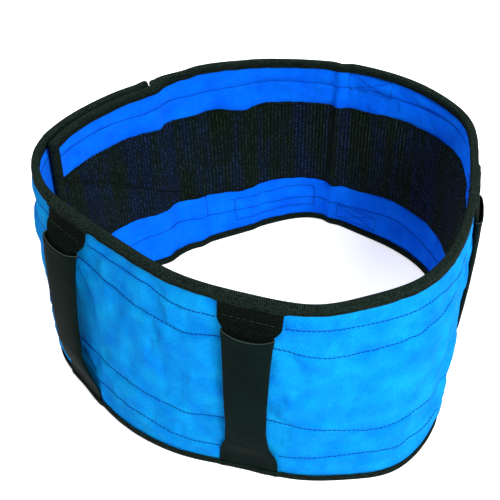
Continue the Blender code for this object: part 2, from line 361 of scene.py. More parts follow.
def puff(s, z, quilt, share):
    """Quilted relief out of one face: full between sewn rows, drawn in along them."""
    s, z = arrays(s, z)
    z = level(s, z)
    relief = share * quilt(s, z)
    pitch = 1 + 0.3 * np.cos(math.tau * s / PITCH)
    for row in ROWS:
        near = np.abs(z - row)
        relief = relief - 0.6 * pitch * np.exp(-(near / 1.7) ** 2)
        relief = relief + np.exp(-near / 9) * (0.42 * CRUMPLE[0](s, row) + 0.30 * CRUMPLE[1](s, row + 7))
    return relief


def face(s, z):
    """Depth of the outer face of the wall."""
    s, z = arrays(s, z)
    free = (1 - gripped(s, z)) * (1 - covered(s, z)) * (1 - 0.85 * fade(165, 140, s))
    return sway(s, z) - 0.9 * gripped(s, z) + puff(s, z, QUILT, 1.0) * free


def back(s, z):
    """Depth of the inner face of the wall."""
    s, z = arrays(s, z)
    free = (1 - gripped(s, z)) * (1 - 0.9 * fade(LOOP.length - 25, LOOP.length - 6, s))
    return sway(s, z) - 6.1 + 1.2 * gripped(s, z) - puff(s, z, BACK_QUILT, 0.75) * free


QUILT = Quilt(31)
BACK_QUILT = Quilt(32)


# ---- mesh helpers
def make_object(name, points, faces, coords, material, turn=False):
    mesh = bpy.data.meshes.new(name)
    mesh.from_pydata(np.reshape(points, (-1, 3)).tolist(), [], faces)
    strip = mesh.attributes.new("strip", "FLOAT_VECTOR", "POINT")
    strip.data.foreach_set("vector", np.ascontiguousarray(coords, np.float32).ravel())
    if turn:
        bm = bmesh.new()
        bm.from_mesh(mesh)
        bmesh.ops.recalc_face_normals(bm, faces=bm.faces)
        bm.to_mesh(mesh)
        bm.free()
    mesh.shade_smooth()
    mesh.materials.append(material)
    return new_object(name, mesh)


def row_cut(low, high, step=2.6):
    """Heights between two edges, closer together at the sewn rows."""
    line = list(cut(low, high, step))
    for row in ROWS:
        line += [row + k for k in (-2.4, -1.6, -0.8, 0.0, 0.8, 1.6, 2.4)]
    line = sorted(v for v in line if low <= v <= high)
    kept = [line[0]]
    for v in line[1:]:
        if v - kept[-1] > 0.55:
            kept.append(v)
    kept[-1] = high
    return np.array(kept)


def skin(name, along, heights, shown, thick, material, outward, low=None, high=None, bend=None, every=2):
    """Closed thin sheet: a finely cut face that shows, a coarser one behind it, joined round the edges.

    heights run from 0 to 1 between low(s) and high(s) where those are given, and are millimetres otherwise.
    """
    along = np.asarray(along, float)
    heights = np.asarray(heights, float)
    rows = {"shown": heights, "hidden": np.unique(np.append(heights[::every], heights[-1]))}
    points, coords, faces, first = [], [], [], {}
    for side, line in rows.items():
        s, z = np.meshgrid(along, line, indexing="ij")
        if low is not None:
            z = low(s) + (high(s) - low(s)) * z
        if bend:
            z = bend(s, z)
        d = shown(s, z)
        if side == "hidden":
            d = d - thick if outward else d + thick
        first[side] = sum(len(p) for p in points)
        points.append(LOOP.place(s, z, d).reshape(-1, 3))
        coords.append(np.stack([s, z, d], -1).reshape(-1, 3))
        faces += grid_faces(len(along), len(line), first[side], flip=(side == "shown") != outward)
    n, m, h, f, g = len(along), len(heights), len(rows["hidden"]), first["shown"], first["hidden"]
    strips = []
    for i in range(n - 1):
        strips.append([f + i * m, f + (i + 1) * m, g + (i + 1) * h, g + i * h])
        strips.append([f + (i + 2) * m - 1, f + (i + 1) * m - 1, g + (i + 1) * h - 1, g + (i + 2) * h - 1])
    strips.append([*range(f + m - 1, f - 1, -1), *range(g, g + h)])
    strips.append([*range(f + (n - 1) * m, f + n * m), *range(g + n * h - 1, g + (n - 1) * h - 1, -1)])
    if not outward:
        strips = [q[::-1] for q in strips]
    return make_object(name, np.concatenate(points), faces + strips, np.concatenate(coords), material)


def loft(name, s, z, d, material, wrap=False, coords=None):
    """Closed body through rings of strip points; wrap joins the last ring to the first instead of capping.

    coords are the coordinates that its material reads, where they aren't the points' own.
    """
    n, m = np.shape(d)
    index = np.arange(n * m).reshape(n, m)
    after = np.roll(index, -1, axis=1)
    ahead = np.roll(index, -1, axis=0)
    ahead_after = np.roll(ahead, -1, axis=1)
    last = n if wrap else n - 1
    quads = np.stack([index, after, ahead_after, ahead], -1)[:last].reshape(-1, 4).tolist()
    if not wrap:
        quads += [index[0].tolist()[::-1], index[-1].tolist()]
    coords = np.stack([s, z, d], -1) if coords is None else coords
    return make_object(name, LOOP.place(s, z, d), quads, coords, material, turn=True)


BODIES = {"belt": "belt", "flap": "closing_flap"}


def attach(obj, zone, slot=None, *replaced):
    """Ride on the zone's body; at the hinge, the piece keeps its place with its transform baked in."""
    if zone == "hinge":
        a, b = [Vector(LOOP.place(s, MID, 0.0)) for s in BEND]
        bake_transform(obj)
    else:
        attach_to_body(obj, BODIES.get(zone, zone))
    if replaced:
        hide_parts(*replaced)
    return obj


# ---- materials
class Look:
    """A Principled material and short ways to add nodes to it."""

    def __init__(self, name, roughness, **sockets):
        self.mat = bpy.data.materials.new(name)
        self.mat.use_nodes = True
        self.tree = self.mat.node_tree
        self.shader = self.tree.nodes["Principled BSDF"]
        self.shader.inputs["Roughness"].default_value = roughness
        for key, value in sockets.items():
            self.shader.inputs[key.replace("_", " ")].default_value = value
        self.strip = self.node("ShaderNodeAttribute", attribute_name="strip").outputs["Vector"]
        split = self.node("ShaderNodeSeparateXYZ")
        self.link(self.strip, split.inputs[0])
        self.s, self.z, self.d = split.outputs

    def node(self, kind, **settings):
        made = self.tree.nodes.new(kind)
        for key, value in settings.items():
            setattr(made, key, value)
        return made

    def link(self, source, target):
        self.tree.links.new(source, target)

    def math(self, operation, a, b=None, clamp=False):
        made = self.node("ShaderNodeMath", operation=operation, use_clamp=clamp)
        for i, value in enumerate((a, b)):
            if value is None:
                continue
            if isinstance(value, (int, float)):
                made.inputs[i].default_value = value
            else:
                self.link(value, made.inputs[i])
        return made.outputs[0]

    def plus(self, a, b):
        return self.math("ADD", a, b)

    def times(self, a, b, clamp=False):
        return self.math("MULTIPLY", a, b, clamp)

    def sine(self, value, period):
        return self.math("SINE", self.times(value, math.tau / period))

    def noise(self, scale, detail=2.0, stretch=None, rough=0.5):
        made = self.node("ShaderNodeTexNoise")
        for key, value in (("Scale", scale), ("Detail", detail), ("Roughness", rough)):
            made.inputs[key].default_value = value
        source = self.strip
        if stretch:
            shape = self.node("ShaderNodeVectorMath", operation="MULTIPLY")
            shape.inputs[1].default_value = stretch
            self.link(source, shape.inputs[0])
            source = shape.outputs[0]
        self.link(source, made.inputs["Vector"])
        return made.outputs[0]

    def ramp(self, value, stops):
        made = self.node("ShaderNodeValToRGB")
        ramp = made.color_ramp
        while len(ramp.elements) < len(stops):
            ramp.elements.new(0.5)
        for element, (place, color) in zip(ramp.elements, stops):
            element.position = place
            element.color = (*color, 1.0)
        self.link(value, made.inputs[0])
        return made.outputs[0]

    def mix(self, share, a, b, mode="MIX"):
        made = self.node("ShaderNodeMix", data_type="RGBA", blend_type=mode)
        for socket, value in ((made.inputs[0], share), (made.inputs[6], a), (made.inputs[7], b)):
            if isinstance(value, (int, float)):
                socket.default_value = value
            elif isinstance(value, tuple):
                socket.default_value = (*value, 1.0)
            else:
                self.link(value, socket)
        return made.outputs[2]

    def finish(self, color, height, distance, strength=1.0, roughness=None):
        self.link(color, self.shader.inputs["Base Color"])
        bump = self.node("ShaderNodeBump")
        bump.inputs["Strength"].default_value = strength
        bump.inputs["Distance"].default_value = distance
        self.link(height, bump.inputs["Height"])
        self.link(bump.outputs[0], self.shader.inputs["Normal"])
        if roughness is not None:
            self.link(roughness, self.shader.inputs["Roughness"])
        return self.mat


def woven(name, dark, light, period=0.62):
    """Plain weave cloth with slubs, slow shade changes and high spots lightened as a painted sheen."""
    look = Look(name, 0.85, Sheen_Weight=0.004, Sheen_Roughness=0.4, Specular_IOR_Level=0.01)
    weave = look.times(look.sine(look.s, period), look.sine(look.z, period))
    slow = look.noise(0.045, 4.0)
    grain = look.noise(1.3, 3.0, (1.0, 0.4, 1.0), 0.7)
    color = look.ramp(slow, [(0.32, dark), (0.68, light)])
    # Tone multiplier: the grain varies it at random, and the weave's high spots lighten it towards pale cyan
    # as a painted sheen
    shade = look.plus(look.times(weave, 0.10), look.times(grain, 0.9))
    color = look.mix(1.0, color, look.ramp(shade, [(0.2, (0.66, 0.66, 0.82)), (0.75, (1.3, 1.3, 1.12))]),
                     "MULTIPLY")
    height = look.plus(weave, look.times(grain, 0.8))
    return look.finish(color, height, 0.00014, 0.8)


def tape_look(name):
    """Black twill tape, greyer in scattered worn flecks."""
    look = Look(name, 0.85, Specular_IOR_Level=0.03)
    slant = look.sine(look.plus(look.s, look.times(look.z, 1.3)), 1.6)
    fine = look.times(look.sine(look.s, 0.8), look.sine(look.z, 0.7))
    twill = look.plus(slant, look.times(fine, 0.7))
    fray = look.noise(0.8, 3.0, None, 0.8)
    worn = look.times(look.plus(look.times(twill, 0.3), 1.0), fray)
    color = look.ramp(worn, [(0.36, (0.0004, 0.0016, 0.001)), (0.55, (0.0016, 0.0052, 0.0036)),
                             (0.8, (0.032, 0.06, 0.045))])
    rough = look.plus(look.times(twill, 0.6), look.times(fray, 1.6))
    return look.finish(color, rough, 0.00026, 1.0)


def mesh_look(name):
    """Black ribbed knit with navy yarn showing in columns."""
    look = Look(name, 0.85, Specular_IOR_Level=0.05)
    tilt = look.math("PINGPONG", look.s, RIB / 2)
    loops = look.sine(look.plus(look.z, tilt), 2.1)
    rib = look.sine(look.plus(look.s, RIB / 4), RIB)
    height = look.plus(rib, look.times(loops, 0.8))
    columns = look.noise(0.06, 3.0, (1.0, 0.1, 1.0))
    fleck = look.noise(0.6, 2.0, (1.0, 0.7, 1.0), 0.7)
    base = look.ramp(columns, [(0.38, (0.0016, 0.0062, 0.0032)), (0.5, (0.0022, 0.0075, 0.0055)),
                               (0.62, (0.0020, 0.0065, 0.013))])
    glint = look.ramp(columns, [(0.4, (0.036, 0.072, 0.04)), (0.6, (0.03, 0.07, 0.26))])
    dots = look.times(look.math("SUBTRACT", fleck, 0.5), 8.0, clamp=True)
    spark = look.times(look.times(look.plus(loops, 0.1), dots, clamp=True),
                      look.math("GREATER_THAN", rib, -0.2))
    return look.finish(look.mix(spark, base, glint), height, 0.0005, 1.0)


def smooth_black(name, color, roughness, bump=0.0001, sheen=0.0):
    """Close black cloth with a faint lengthwise grain."""
    look = Look(name, roughness, Sheen_Weight=sheen, Sheen_Roughness=0.45, Specular_IOR_Level=0.02)
    grain = look.noise(1.2, 3.0, (1.0, 0.2, 1.0))
    slow = look.noise(0.05)
    low = tuple(0.75 * c for c in color)
    high = tuple(1.35 * c for c in color)
    shade = look.plus(look.times(grain, 0.5), look.times(slow, 0.5))
    return look.finish(look.ramp(shade, [(0.35, low), (0.65, high)]), grain, bump, 0.6)


def webbing_look(name):
    """Black webbing with ribs across it."""
    look = Look(name, 0.85, Specular_IOR_Level=0.02)
    ribs = look.times(look.sine(look.z, 1.5), look.plus(look.sine(look.s, 1.9), 1.6))
    shade = look.plus(look.times(ribs, 0.15), look.noise(0.5, 3.0))
    color = look.ramp(shade, [(0.3, (0.0005, 0.0018, 0.0012)), (0.85, (0.006, 0.0115, 0.008))])
    return look.finish(color, ribs, 0.0004, 1.0)


def thread_look(name, dark, light):
    """Twisted sewing thread."""
    look = Look(name, 0.8, Specular_IOR_Level=0.05)
    twist = look.sine(look.plus(look.s, look.times(look.d, 0.4)), 0.8)
    shade = look.plus(look.times(twist, 0.3), look.noise(0.3))
    return look.finish(look.ramp(shade, [(0.2, dark), (0.9, light)]), twist, 0.00006)


SHELL_BLUE = woven("shell_cloth", (0.0010, 0.165, 0.575), (0.0030, 0.262, 0.62))
LINING_BLUE = woven("lining_cloth", (0.0006, 0.108, 0.78), (0.001, 0.155, 0.88))
TAPE_BLACK = tape_look("binding_twill")
MESH_BLACK = mesh_look("ribbed_knit")
SLEEVE_BLACK = smooth_black("grip_cloth", (0.0012, 0.0052, 0.0042), 0.7)
# Painted highlight: the light line along each sleeve's open mouth is this lighter copy of the black grip
# cloth
LIP_HIGHLIGHT = smooth_black("grip_edge_highlight", (0.022, 0.033, 0.030), 0.6)
PILE_BLACK = smooth_black("pile_cloth", (0.003, 0.0055, 0.0045), 0.9, 0.0006, 0.1)
WEB_BLACK = webbing_look("handle_webbing")
LABEL_GREY = smooth_black("label_cloth", (0.35, 0.36, 0.37), 0.6)
FOAM_GREY = smooth_black("foam_sheet", (0.4, 0.4, 0.37), 0.9, 0.0004)
NAVY_THREAD = thread_look("navy_thread", (0.0006, 0.012, 0.15), (0.0012, 0.028, 0.30))
BLACK_THREAD = thread_look("black_thread", (0.0004, 0.001, 0.0008), (0.003, 0.007, 0.005))
GREY_THREAD = thread_look("grey_thread", (0.008, 0.015, 0.013), (0.035, 0.05, 0.045))

# ---- wall layers
CLOTH = 0.8
CUT = 1.6
EDGE_GAP = 1.5
# Pieces of each zone from the outside in, and the frame's nodes that they stand for
LAYERS = {
    "belt": (("outer_shell", "foam_sheet", "inner_lining"),
             ("outer_shell_fabric", "foam_core", "inner_lining_fabric")),
    "hinge": (("hinge_shell", "hinge_foam", "hinge_lining"), ()),
    "flap": (("flap_shell", "flap_foam", "flap_lining"),
             ("flap_outer_fabric", "flap_foam_core", "flap_inner_lining")),
}


def build_wall():
    heights = row_cut(EDGE_GAP, HEIGHT - EDGE_GAP)
    for zone, (names, nodes) in LAYERS.items():
        line = cut(*ZONES[zone], CUT)
        for k, surface, look, slot, outward in ((0, face, SHELL_BLUE, "blue_shell_fabric", True),
                                                (2, back, LINING_BLUE, "blue_lining_fabric", False)):
            cloth = skin(names[k], line, heights, surface, CLOTH, look, outward, bend=unlevel)
            attach(cloth, zone, slot, *nodes[k:k + 1])
        foam = foam_sheet(names[1], zone)
        attach(foam, zone, "foam", *nodes[1:2])


def foam_sheet(name, zone):
    """Padding between the cloths, thin enough to stay under the deepest relief near each of its points."""
    first, last = ZONES[zone]
    line = cut(max(first, 3.0), min(last, TIP - 3.0), 3.0)
    if zone == "belt":
        line = np.unique(np.concatenate([line, cut(117.0, 133.0, 0.8)]))
    rows = np.linspace(4.0, HEIGHT - 4.0, 20)
    s, z = np.meshgrid(line, rows, indexing="ij")
    near = [(s + a, z + b) for a in (-4.5, 0.0, 4.5) for b in (-5.0, 0.0, 5.0)]
    outer = np.min([face(*q) for q in near], 0) - CLOTH - 0.15
    inner = np.max([back(*q) for q in near], 0) + CLOTH + 0.15
    centre = (outer + inner) / 2
    outer, inner = np.maximum(outer, centre + 0.3), np.minimum(inner, centre - 0.3)
    d = np.concatenate([outer, inner[:, ::-1]], 1)
    s2, z2 = np.concatenate([s, s], 1), np.concatenate([z, z[:, ::-1]], 1)
    return loft(name, s2, z2, d, FOAM_GREY)


build_wall()


# ---- anti-slip band
def build_band():
    parts = {
        "belt": ("anti_slip_band", "inner_lining", 8.6, HINGE[0]),
        "hinge": ("hinge_band", "hinge_lining", HINGE[0], ROOT - END_GAP),
    }
    for zone, (name, lining, first, last) in parts.items():
        line = cut(first, last, RIB / 4)
        rows = cut(MESH_LOW, MESH_HIGH, 1.5)

        def shown(s, z):
            edge = fade(0, 2.2, np.minimum(z - MESH_LOW - wander(1, s), MESH_HIGH + wander(2, s) - z))
            knot = 0.7 + 0.3 * np.cos(math.tau * (z / 2.4 + np.floor(s / RIB) * 0.5))
            ribs = 0.28 * np.cos(math.tau * s / RIB) * knot
            return back(s, z) - 0.35 - (0.75 + ribs) * (0.35 + 0.65 * edge)

        def wavy(row, seed):
            return lambda s: (ROWS[row] + wander(row, s) + 0.4 * CRUMPLE[0](s, seed)
                              + 0.2 * np.cos(math.tau * s / RIB))

        band = skin(name, line, (rows - MESH_LOW) / (MESH_HIGH - MESH_LOW), shown, 0.55, MESH_BLACK, False,
                    wavy(1, 20), wavy(2, 90), every=4)
        attach(band, zone, "black_grip_mesh", *(("anti_slip_mesh_band",) if zone == "belt" else ()))


build_band()

# ---- bindings
# Section of the folded tape as (depth, reach from the edge): outside over the fold to the inside, then back
HALF_PROFILE = [
    (-0.70, 7.4), (0.05, 7.7), (0.42, 7.1), (0.32, 6.4), (0.14, 5.7), (0.34, 5.0), (0.5, 4.0), (0.52, 2.9),
    (0.4, 1.8), (-0.1, 0.8), (-1.2, 0.2),
]
EDGE_PROFILE = HALF_PROFILE + [(CORE, 0.0)] + [(-WALL - d, z) for d, z in HALF_PROFILE[::-1]] + [
    (-5.05, 5.0), (-5.0, 3.0), (-4.3, 1.6), (CORE, 1.3), (-1.5, 1.6), (-0.8, 3.0), (-0.75, 5.0),
]
END_OVERHANG = 1.5
END_FULLNESS = 1.1
WEB_UNDER_TAPE = 1.5


def over_handles(s, z):
    """1 where the tape passes over the sewn end of a handle."""
    return near_handles(s, z, 27.5, 23.6)


def section(profile, line):
    """Depth and reach of a tape's section at every place of a line."""
    return (np.repeat(np.array(profile)[None, :, k], len(line), 0) for k in (0, 1))


def edge_binding(name, line, upper):
    d, reach = section(EDGE_PROFILE, line)
    s = np.repeat(line[:, None], len(EDGE_PROFILE), 1)
    uneven = 0.5 * CRUMPLE[0](s, 30 if upper else 60)
    reach = reach + uneven * fade(3, 7, reach)
    z = HEIGHT - reach if upper else reach
    lump = 0.28 * CRUMPLE[1](s, 40 if upper else 10) + 0.2 * CRUMPLE[2](s, 150 if upper else 30)
    outer = fade(-2.6, -1.0, d) * fade(1.0, 3.0, reach)
    swell = lump * np.sign(d - CORE) * fade(0.5, 3, reach)
    d = d + sway(s, z) + swell + outer * over_handles(s, z) * WEB_UNDER_TAPE
    return loft(name, s, z, d, TAPE_BLACK, coords=np.stack([s, np.where(d > CORE, reach, -reach), d], -1))


def end_binding(name, edge, inward):
    rows = cut(0.3, HEIGHT - 0.3, 2.2)
    z = np.repeat(rows[:, None], len(EDGE_PROFILE), 1)
    d, reach = section(EDGE_PROFILE, rows)
    reach = reach - END_OVERHANG + 0.5 * CRUMPLE[0](z * 3, 50)
    s = edge + inward * reach
    corner = 1 - fade(3.0, 0.2, np.minimum(z, HEIGHT - z))
    d = CORE + (d - CORE) * (END_FULLNESS * (0.82 + 0.18 * corner)) + sway(s, z)
    return loft(name, s, z, d, TAPE_BLACK, coords=np.stack([z, reach, d], -1))


def build_bindings():
    # Reach of the tapes in each zone, start of their names, and the node that each stands for
    tapes = {
        "belt": (-0.9, HINGE[0], "", "%s_edge_binding"),
        "hinge": (*HINGE, "hinge_", None),
        "flap": (HINGE[1], TIP + 0.9, "flap_", "flap_%s_binding"),
    }
    for zone, (first, last, label, node) in tapes.items():
        line = cut(first, last, 2.0)
        for side in ("top", "bottom"):
            tape = edge_binding("%s%s_tape" % (label, side), line, side == "top")
            attach(tape, zone, "black_binding_tape", *((node % side,) if node else ()))
    ends = (("inner_end_tape", END_GAP, 1, "belt", "inner_end_binding"),
            ("flap_end_tape", TIP - END_GAP, -1, "flap", "flap_end_binding"))
    for name, edge, inward, zone, node in ends:
        attach(end_binding(name, edge, inward), zone, "black_binding_tape", node)


build_bindings()

# ---- handles
WEB_THICK = 1.4
WEB_REST = 1.1
STAND_HEIGHTS = (0.0, 18.0, 36.0, 55.0, 95.0, 130.0, 152.0, 161.0, 188.0)
STAND_SHARES = (0.0, 0.0, 0.5, 0.92, 1.0, 0.96, 0.78, 0.0, 0.0)
LINKS = {"top": (165.0, 146.0), "bottom": (27.0, 57.0)}
MOUTH = 152.0
MOUTH_DIP = 3.5
SLEEVE_FOOT = 24.5


def lowered(place, z):
    """Height on the plain handle that matches height z on one whose mouth is raised."""
    return z - place.rise * fade(100, 152, z)


def stand(place, z):
    """How far a handle's webbing stands off the wall, rounded at its bends."""
    z = lowered(place, np.asarray(z, float))
    shares = np.mean([np.interp(z + k, STAND_HEIGHTS, STAND_SHARES) for k in (-5, -3, -1, 1, 3, 5)], 0)
    return WEB_REST + (place.slack - WEB_REST) * shares


def ring(half_width, half_depth, powers, count):
    """Rounded section as offsets across and out; powers near 0 make it square, 1 an ellipse."""
    a = math.tau * (np.arange(count) + 0.5) / count
    across = half_width * np.sign(np.cos(a)) * np.abs(np.cos(a)) ** powers[0]
    out = half_depth * np.sign(np.sin(a)) * np.abs(np.sin(a)) ** powers[1]
    return across, out


WEB_POWERS = (0.35, 0.45)
TUBE_POWERS = (0.8, 0.85)


def web_strip(name, place, rows, widths, depth, thick, material, ripple, seed, count=56):
    """Webbing through a list of heights; widths is a list of (height, width)."""
    rings = []
    for z in rows:
        half = np.interp(lowered(place, z), *zip(*widths)) / 2 + 0.25 * CRUMPLE[1](place.middle + seed, z)
        across, out = ring(half, thick / 2, WEB_POWERS, count)
        s = middle(place, z) + across
        d = depth(s, z) + out + ripple * CRUMPLE[0](s + seed, z) * (out > 0)
        rings.append((s, np.full(count, z), d, across + seed))
    s, z, d, across = np.stack(rings, 1)
    return loft(name, s, z, d, material, coords=np.stack([across, z, d], -1))


SLEEVE_HEIGHTS = (8.0, 18.0, 28.0, 40.0, 60.0, 95.0, 125.0, 143.0, MOUTH)
SLEEVE_WIDTHS = (25.8, 25.4, 22.6, 17.8, 16.2, 16.8, 17.6, 18.6, 19.4)
SLEEVE_DEPTHS = (0.5, 0.6, 1.3, 2.9, 3.1, 3.1, 3.2, 3.4, 3.8)
SLEEVE_THICK = 0.9
LIP = 0.3


def mouth_dip(across, half, front):
    """How much lower the front of the open mouth hangs than its back."""
    return MOUTH_DIP * np.clip(1 - (across / half) ** 2, 0, 1) * front


def slack_cloth(s, z, seed):
    return 0.22 * CRUMPLE[2](s + seed, z) + 0.10 * CRUMPLE[0](s + 2 * seed, z)


def sleeve(name, place, seed):
    """Cloth tube round the webbing: open at the top, pressed flat and sewn down at its foot."""
    mouth = MOUTH + place.rise
    rows = np.concatenate([cut(SLEEVE_FOOT, 60, 2.0), cut(62, 140, 2.8), cut(142, mouth, 1.25)])
    outer, inner = [], []
    for z in rows:
        half = np.interp(lowered(place, z), SLEEVE_HEIGHTS, SLEEVE_WIDTHS) + place.wider
        deep = np.interp(lowered(place, z), SLEEVE_HEIGHTS, SLEEVE_DEPTHS)
        for shrink, rings in ((0.0, outer), (SLEEVE_THICK, inner)):
            shallow = max(deep - shrink * min(1, deep / 2.4), 0.12)
            across, out = ring(half - shrink, shallow, TUBE_POWERS, 64)
            front = fade(-0.3, 0.9, out / deep)
            low = z - mouth_dip(across, half, front) * fade(120, mouth, z)
            s = middle(place, low) + across
            crease = (0.5 * np.exp(-((low - 43 - 0.3 * across) / 3.0) ** 2)
                      + 0.35 * np.exp(-((low - 52) / 4) ** 2))
            relief = slack_cloth(s, low, seed) - crease + LIP * fade(mouth - 5, mouth - 1, z)
            d = sway(s, low) + stand(place, low) + out + relief * front * fade(24, 34, z)
            rings.append((s, low, d, across + seed))
    s, z, d, across = np.stack(outer + inner[::-1], 1)
    return loft(name, s, z, d, SLEEVE_BLACK, wrap=True, coords=np.stack([across, z, d], -1))


def mouth_rim(name, place, seed, radius=0.5, count=8):
    """Rolled edge round the open mouth of a sleeve, in a lighter black that is a painted highlight."""
    half = SLEEVE_WIDTHS[-1] + place.wider
    across, out = ring(half - SLEEVE_THICK / 2, SLEEVE_DEPTHS[-1] - SLEEVE_THICK / 2, TUBE_POWERS, 96)
    front = fade(-0.3, 0.9, out / SLEEVE_DEPTHS[-1])
    low = MOUTH + place.rise - mouth_dip(across, half, front)
    s = middle(place, low) + across
    d = sway(s, low) + stand(place, low) + out + (slack_cloth(s, low, seed) + LIP) * front
    outward = np.stack([across, 4 * out], -1) / np.hypot(across, 4 * out)[:, None]
    a = math.tau * np.arange(count) / count
    side, rise = radius * np.cos(a), radius * np.sin(a)
    ss, zz = s[:, None] + outward[:, :1] * side, low[:, None] + rise
    dd = d[:, None] + outward[:, 1:] * side
    return loft(name, ss, zz, dd, LIP_HIGHLIGHT, wrap=True)


def web_depth(place):
    """Depth of a handle's webbing."""
    return lambda s, z: sway(s, z) + stand(place, z)


# Full widths of the webbing at heights up the handle: sewn upper end, free middle, sewn foot
TOP_WIDTHS = ((150.5, 31), (153, 36.5), (156, 42.5), (159, 46), (184, 46.5))
FREE_WIDTHS = ((27, 30), (40, 26), (128, 26), (143, 32), (153, 33), (160, 34))
FOOT_WIDTHS = ((4, 49), (18, 48.5), (29, 44))
SLEEVE_FREE = (28.0, 62.0)


def handle(side, place, seed):
    """One handle: sewn ends on the wall, free webbing and the mouth's rim on the handle's body, the sleeve
    and the links between them baked in place.
    """
    host, body, name = ("flap" if side == "left" else "belt"), "handle_%s" % side, "handle_%s_" % side

    def sewn(s, z):
        return web_depth(place)(s, z) - 0.35 - 0.5 * fade(12, 6, np.minimum(z, HEIGHT - z))

    def bend(obj, along, start, end):
        [Vector(LOOP.place(along, z, 0.0)) for z in (start, end)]
        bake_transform(obj)

    def web(part, rows, widths=FREE_WIDTHS, depth=web_depth(place), thick=WEB_THICK, look=WEB_BLACK,
            ripple=0):
        return web_strip(name + part, place, rows, widths, depth, thick, look, ripple, seed)

    top = web("upper_end", cut(151.0, 183.5, 1.25), TOP_WIDTHS, sewn, WEB_THICK + 0.1, ripple=0.12)
    attach(top, host, "black_webbing", name + "top_anchor")
    foot = web("lower_end", cut(4.5, 29.0, 1.5), FOOT_WIDTHS, sewn, look=SLEEVE_BLACK, ripple=0.16)
    attach(foot, host, "black_webbing", name + "bottom_anchor")
    strap = web("webbing", cut(LINKS["bottom"][1], LINKS["top"][1], 6.0))
    attach(strap, body, "black_webbing", name + "strap")
    for part, (held, free) in LINKS.items():
        link = web(part + "_link", cut(*sorted((held, free)), 3.0), thick=WEB_THICK - 0.01)
        bend(link, middle(place, (held + free) / 2), held, free)
    tube = sleeve(name + "sleeve", place, seed)
    bend(tube, place.middle, *SLEEVE_FREE)
    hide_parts(name + "grip_sleeve")
    attach(mouth_rim(name + "mouth_rim", place, seed), body, "black_rubber_grip")


for handle_seed, (handle_side, handle_place) in enumerate(HANDLES.items()):
    handle(handle_side, handle_place, 40 + 60 * handle_seed)


# ---- hook and loop panels, label
def pile_top(s):
    """Height of the panels' slanting upper edge."""
    return 149.0 - 0.567 * s


def pile_low(s):
    return 26.0 + 0.4 * CRUMPLE[0](s, 5)


def build_panels():
    grain = Noise(51, 4, 4)
    rows = np.linspace(0, 1, 46)

    def loops(s, z):
        return face(s, z) + 1.55 + 0.22 * grain(s, z)

    def hooks(s, z):
        return back(s, z) - 1.5 + 0.1 * grain(s, z)

    def label_face(s, z):
        return face(s, z) + 0.75 + 0.15 * CRUMPLE[0](s, z)

    pile = skin("loop_pile", cut(12.5, 170.0, 2.2), rows, loops, 0.9, PILE_BLACK, True, pile_low, pile_top)
    attach(pile, "belt", "black_loop_pile", "loop_pile_panel")
    hook = skin("hook_tape", cut(LOOP.length + 13.0, TIP - 12.5, 2.2), rows, hooks, 0.8, PILE_BLACK, False,
                pile_low, lambda s: pile_top(s - LOOP.length))
    attach(hook, "flap", "black_hook_tape", "flap_hook_panel")
    label = skin("woven_label", cut(203.0, 284.0, 2.0), cut(19.0, 40.0, 1.5), label_face, 0.5, LABEL_GREY,
                 True)
    attach(label, "belt", "grey_label_fabric", "blank_label")


build_panels()

# ---- sewing threads
STITCH = 3.1
THREAD = 0.32
# One stitch from end to end: share of its length, of the thread's radius, and its rise in radii
STITCH_RUN = np.array([-0.5, -0.42, -0.2, 0.2, 0.42, 0.5])
STITCH_GIRTH = np.array([0.35, 0.85, 1.0, 1.0, 0.85, 0.35])
STITCH_RISE = np.array([-0.6, -0.1, 0.5, 0.5, -0.1, -0.6])
SIDES = 6


def measured(path):
    """A path of (s, z) points as an array, and the distance of each point along it."""
    path = np.array(path, float)
    return path, np.concatenate([[0], np.cumsum(np.hypot(*np.diff(path, axis=0).T))])


def along_path(path, step, at):
    """Points at distances along a path, and the direction of the path at each."""
    s, z = (np.interp(at, step, path[:, k]) for k in (0, 1))
    ahead = np.stack([np.interp(at + 0.5, step, path[:, k]) - np.interp(at - 0.5, step, path[:, k])
                      for k in (0, 1)])
    return s, z, ahead / np.hypot(*ahead)


